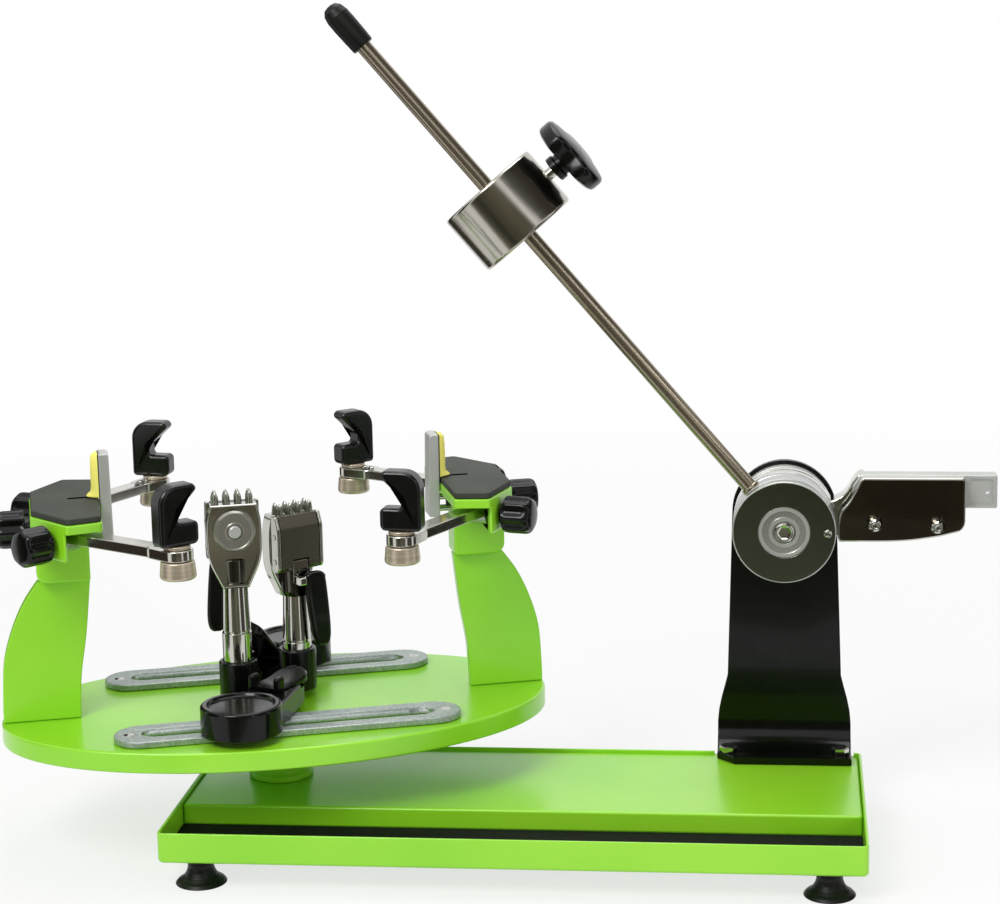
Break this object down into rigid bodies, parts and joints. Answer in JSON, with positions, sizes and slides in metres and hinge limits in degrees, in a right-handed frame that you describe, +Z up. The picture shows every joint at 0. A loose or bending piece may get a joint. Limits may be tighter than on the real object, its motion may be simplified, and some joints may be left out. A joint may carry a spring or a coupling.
{
  "type": "racket stringing machine",
  "caption": "Table-top racket stringer: a turntable with racket mounts and sliding string clamps beside an upright with a drum, string gripper and sliding weight on a rod.",
  "frame": {"origin": "bottom centre of the bounding box, on the table under the feet", "axes": "+X to the right, towards the gripper; +Y to the rear; +Z up"},
  "size_m": [0.6772, 0.2878, 0.5674],
  "materials": {
    "lime_paint": "glossy lime powder paint",
    "black_paint": "glossy black paint",
    "black_plastic": "semi-gloss moulded",
    "black_rubber": "smooth soft rubber",
    "grey_rubber": "matt rubber",
    "yellow_rubber": "matt soft rubber",
    "chrome": "polished chrome plate",
    "bright_steel": "brushed and turned steel",
    "machined_steel": "turned steel",
    "zinc_casting": "satin cast rail"
  },
  "bodies": {
    "base": {"base_tray": "lime_paint", "platform_cover": "lime_paint", "suction_foot_front_left": "black_rubber", "suction_foot_front_right": "black_rubber", "suction_foot_rear_left": "black_rubber", "suction_foot_rear_right": "black_rubber", "turntable_hub": "lime_paint", "drum_bracket": "black_paint", "drum_axle": "machined_steel"},
    "turntable": {"turntable_plate": "lime_paint", "front_rail": "zinc_casting", "rear_rail": "zinc_casting", "right_post": "lime_paint", "right_head_plate": "lime_paint", "right_rubber_pad": "grey_rubber", "left_post": "lime_paint", "left_head_plate": "lime_paint", "left_rubber_pad": "grey_rubber"},
    "drum": {"drum_front_disc": "black_paint", "tension_drum": "chrome"},
    "rod": {"rod_ring": "chrome", "weight_rod": "bright_steel", "rod_cap": "black_rubber"},
    "weight": {"sliding_weight": "bright_steel"},
    "weight_knob": {"weight_knob": "black_plastic"},
    "gripper_jaw": {"gripper_jaw": "chrome"},
    "right_support": {"right_inner_support": "bright_steel", "right_support_pad": "yellow_rubber"},
    "right_support_knob": {"right_support_knob": "black_plastic"},
    "right_front_arm": {"right_front_arm": "chrome"},
    "right_front_hook": {"right_front_hook": "black_plastic", "right_front_swivel_nut": "bright_steel"},
    "right_front_arm_knob": {"right_front_arm_knob": "black_plastic"},
    "right_rear_arm": {"right_rear_arm": "chrome"},
    "right_rear_hook": {"right_rear_hook": "black_plastic", "right_rear_swivel_nut": "bright_steel"},
    "right_rear_arm_knob": {"right_rear_arm_knob": "black_plastic"},
    "left_support": {"left_inner_support": "bright_steel", "left_support_pad": "yellow_rubber"},
    "left_support_knob": {"left_support_knob": "black_plastic"},
    "left_front_arm": {"left_front_arm": "chrome"},
    "left_front_hook": {"left_front_hook": "black_plastic", "left_front_swivel_nut": "bright_steel"},
    "left_front_arm_knob": {"left_front_arm_knob": "black_plastic"},
    "left_rear_arm": {"left_rear_arm": "chrome"},
    "left_rear_hook": {"left_rear_hook": "black_plastic", "left_rear_swivel_nut": "bright_steel"},
    "left_rear_arm_knob": {"left_rear_arm_knob": "black_plastic"},
    "front_slide_shoe": {"front_slide_shoe": "bright_steel"},
    "front_clamp_base": {"front_clamp_base": "black_paint"},
    "front_lock_lever": {"front_lock_lever": "black_paint"},
    "front_clamp_post": {"front_clamp_post": "chrome"},
    "front_clamp_jaw": {"front_clamp_jaw": "chrome"},
    "front_clamp_lever": {"front_clamp_lever": "black_plastic"},
    "rear_slide_shoe": {"rear_slide_shoe": "bright_steel"},
    "rear_clamp_base": {"rear_clamp_base": "black_paint"},
    "rear_lock_lever": {"rear_lock_lever": "black_paint"},
    "rear_clamp_post": {"rear_clamp_post": "chrome"},
    "rear_clamp_jaw": {"rear_clamp_jaw": "chrome"},
    "rear_clamp_lever": {"rear_clamp_lever": "black_plastic"}
  },
  "joints": [
    {"name": "turntable_turn", "type": "hinge", "parent": "base", "child": "turntable", "pos_m": [-0.15493, 0, 0], "axis": [0, 0, 1], "continuous": true},
    {"name": "drum_turn", "type": "hinge", "parent": "base", "child": "drum", "pos_m": [0.19457, -0.128, 0.2113], "axis": [0, 1, 0], "range_deg": [0, 45]},
    {"name": "rod_turn", "type": "hinge", "parent": "drum", "child": "rod", "pos_m": [0.19457, 0.0225, 0.2113], "axis": [0, 1, 0], "range_deg": [0, 85]},
    {"name": "weight_slide", "type": "slide", "parent": "rod", "child": "weight", "axis": [-0.6508, 0, 0.7593], "range_m": [-0.165, 0.12]},
    {"name": "weight_knob_turn", "type": "hinge", "parent": "weight", "child": "weight_knob", "pos_m": [0.0091, 0.0225, 0.42769], "axis": [0.7593, 0, 0.6508], "range_deg": [0, 180]},
    {"name": "gripper_jaw_slide", "type": "slide", "parent": "drum", "child": "gripper_jaw", "axis": [0, 1, 0], "range_m": [-0.0015, 0.0012]},
    {"name": "right_support_knob_turn", "type": "hinge", "parent": "turntable", "child": "right_support_knob", "pos_m": [-0.00107, 0.05071, 0.2235], "axis": [0.9498, 0.313, 0], "range_deg": [0, 2161]},
    {"name": "right_support_slide", "type": "slide", "parent": "turntable", "child": "right_support", "axis": [-0.9498, -0.313, 0], "range_m": [0, 0.012]},
    {"name": "right_front_arm_knob_turn", "type": "hinge", "parent": "turntable", "child": "right_front_arm_knob", "pos_m": [0.00303, 0.00152, 0.2235], "axis": [0.9689, -0.2476, 0], "range_deg": [0, 1441]},
    {"name": "right_front_arm_slide", "type": "slide", "parent": "turntable", "child": "right_front_arm", "axis": [-0.9689, 0.2476, 0], "range_m": [0, 0.008]},
    {"name": "right_front_hook_swivel", "type": "hinge", "parent": "right_front_arm", "child": "right_front_hook", "pos_m": [-0.05149, -0.08384, 0.2389], "axis": [0, 0, 1], "range_deg": [-60, 60]},
    {"name": "right_rear_arm_knob_turn", "type": "hinge", "parent": "turntable", "child": "right_rear_arm_knob", "pos_m": [-0.02701, 0.09269, 0.2235], "axis": [0.6318, 0.7751, 0], "range_deg": [0, 1441]},
    {"name": "right_rear_arm_slide", "type": "slide", "parent": "turntable", "child": "right_rear_arm", "axis": [-0.6318, -0.7751, 0], "range_m": [0, 0.008]},
    {"name": "right_rear_hook_swivel", "type": "hinge", "parent": "right_rear_arm", "child": "right_rear_hook", "pos_m": [-0.1216, 0.12891, 0.2389], "axis": [0, 0, 1], "range_deg": [-60, 60]},
    {"name": "left_support_knob_turn", "type": "hinge", "parent": "turntable", "child": "left_support_knob", "pos_m": [-0.30879, -0.05071, 0.2235], "axis": [-0.9498, -0.313, 0], "range_deg": [0, 2161]},
    {"name": "left_support_slide", "type": "slide", "parent": "turntable", "child": "left_support", "axis": [0.9498, 0.313, 0], "range_m": [0, 0.012]},
    {"name": "left_front_arm_knob_turn", "type": "hinge", "parent": "turntable", "child": "left_front_arm_knob", "pos_m": [-0.28284, -0.09269, 0.2235], "axis": [-0.6318, -0.7751, 0], "range_deg": [0, 1441]},
    {"name": "left_front_arm_slide", "type": "slide", "parent": "turntable", "child": "left_front_arm", "axis": [0.6318, 0.7751, 0], "range_m": [0, 0.008]},
    {"name": "left_front_hook_swivel", "type": "hinge", "parent": "left_front_arm", "child": "left_front_hook", "pos_m": [-0.18825, -0.12891, 0.2389], "axis": [0, 0, 1], "range_deg": [-60, 60]},
    {"name": "left_rear_arm_knob_turn", "type": "hinge", "parent": "turntable", "child": "left_rear_arm_knob", "pos_m": [-0.31289, -0.00152, 0.2235], "axis": [-0.9689, 0.2476, 0], "range_deg": [0, 1441]},
    {"name": "left_rear_arm_slide", "type": "slide", "parent": "turntable", "child": "left_rear_arm", "axis": [0.9689, -0.2476, 0], "range_m": [0, 0.008]},
    {"name": "left_rear_hook_swivel", "type": "hinge", "parent": "left_rear_arm", "child": "left_rear_hook", "pos_m": [-0.25837, 0.08384, 0.2389], "axis": [0, 0, 1], "range_deg": [-60, 60]},
    {"name": "front_clamp_slide", "type": "slide", "parent": "turntable", "child": "front_slide_shoe", "axis": [0.9498, 0.313, 0], "range_m": [-0.05, 0]},
    {"name": "front_clamp_swivel", "type": "hinge", "parent": "front_slide_shoe", "child": "front_clamp_base", "pos_m": [-0.16561, -0.07301, 0.0955], "axis": [0, 0, 1], "range_deg": [0, 12]},
    {"name": "front_lock_turn", "type": "hinge", "parent": "front_clamp_base", "child": "front_lock_lever", "pos_m": [-0.15401, -0.04535, 0.1118], "axis": [0.9221, -0.3869, 0], "range_deg": [0, 50]},
    {"name": "front_head_turn", "type": "hinge", "parent": "front_clamp_base", "child": "front_clamp_post", "pos_m": [-0.17839, -0.01826, 0.1245], "axis": [0, 0, 1], "range_deg": [-40, 40]},
    {"name": "front_lever_turn", "type": "hinge", "parent": "front_clamp_post", "child": "front_clamp_lever", "pos_m": [-0.18986, -0.00741, 0.191], "axis": [0.9498, 0.313, 0], "range_deg": [0, 20]},
    {"name": "front_jaw_turn", "type": "hinge", "parent": "front_clamp_post", "child": "front_clamp_jaw", "pos_m": [-0.18002, -0.01332, 0.2005], "axis": [0.9498, 0.313, 0], "range_deg": [0, 1.3]},
    {"name": "rear_clamp_slide", "type": "slide", "parent": "turntable", "child": "rear_slide_shoe", "axis": [0.9498, 0.313, 0], "range_m": [0, 0.05]},
    {"name": "rear_clamp_swivel", "type": "hinge", "parent": "rear_slide_shoe", "child": "rear_clamp_base", "pos_m": [-0.15659, 0.06894, 0.0955], "axis": [0, 0, 1], "range_deg": [0, 12]},
    {"name": "rear_lock_turn", "type": "hinge", "parent": "rear_clamp_base", "child": "rear_lock_lever", "pos_m": [-0.1682, 0.04128, 0.1118], "axis": [-0.9221, 0.3869, 0], "range_deg": [-40, 10]},
    {"name": "rear_head_turn", "type": "hinge", "parent": "rear_clamp_base", "child": "rear_clamp_post", "pos_m": [-0.14381, 0.01419, 0.1095], "axis": [0, 0, 1], "range_deg": [-40, 40]},
    {"name": "rear_lever_turn", "type": "hinge", "parent": "rear_clamp_post", "child": "rear_clamp_lever", "pos_m": [-0.12882, 0.0092, 0.176], "axis": [-0.7285, -0.6851, 0], "range_deg": [0, 20]},
    {"name": "rear_jaw_turn", "type": "hinge", "parent": "rear_clamp_post", "child": "rear_clamp_jaw", "pos_m": [-0.14025, 0.0104, 0.1855], "axis": [-0.7285, -0.6851, 0], "range_deg": [0, 1.3]}
  ],
  "couplings": [
    {"joint": "right_support_knob_turn", "follows": "right_support_slide", "rad_per_m": 3141.6},
    {"joint": "right_front_arm_knob_turn", "follows": "right_front_arm_slide", "rad_per_m": 3141.6},
    {"joint": "right_rear_arm_knob_turn", "follows": "right_rear_arm_slide", "rad_per_m": 3141.6},
    {"joint": "left_support_knob_turn", "follows": "left_support_slide", "rad_per_m": 3141.6},
    {"joint": "left_front_arm_knob_turn", "follows": "left_front_arm_slide", "rad_per_m": 3141.6},
    {"joint": "left_rear_arm_knob_turn", "follows": "left_rear_arm_slide", "rad_per_m": 3141.6},
    {"joint": "front_jaw_turn", "follows": "front_lever_turn", "ratio": 0.065},
    {"joint": "rear_jaw_turn", "follows": "rear_lever_turn", "ratio": 0.065}
  ]
}
